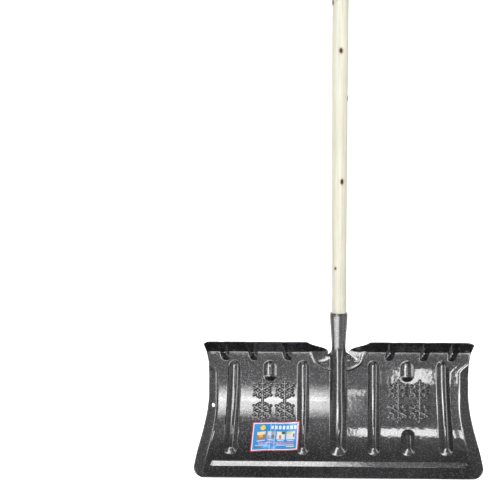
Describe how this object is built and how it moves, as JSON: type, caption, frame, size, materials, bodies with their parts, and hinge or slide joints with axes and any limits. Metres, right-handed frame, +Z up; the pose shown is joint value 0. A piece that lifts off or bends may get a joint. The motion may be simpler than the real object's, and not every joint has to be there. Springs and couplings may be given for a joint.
{
  "type": "snow shovel",
  "caption": "Wide curved snow pusher: one pressed steel sheet with stiffening ribs, folded top lip and rolled socket, on a long straight round wooden handle.",
  "frame": {"origin": "middle of the base of the whole shovel's box, under the cutting edge's level", "axes": "+Z up along the handle, the hollow front of the blade faces -Y, +X to the right seen from the front"},
  "size_m": [0.5616, 0.137, 1.4246],
  "materials": {
    "enamel": "glossy dark hammered enamel",
    "bare_wood": "sanded, unvarnished pale wood with small knots",
    "printed_label": "glossy printed film",
    "zinc": "zinc plated"
  },
  "bodies": {
    "root": {"blade_with_socket": "enamel", "handle": "bare_wood", "label": "printed_label", "fixing_screw_upper": "zinc", "fixing_screw_lower": "zinc"}
  },
  "joints": []
}
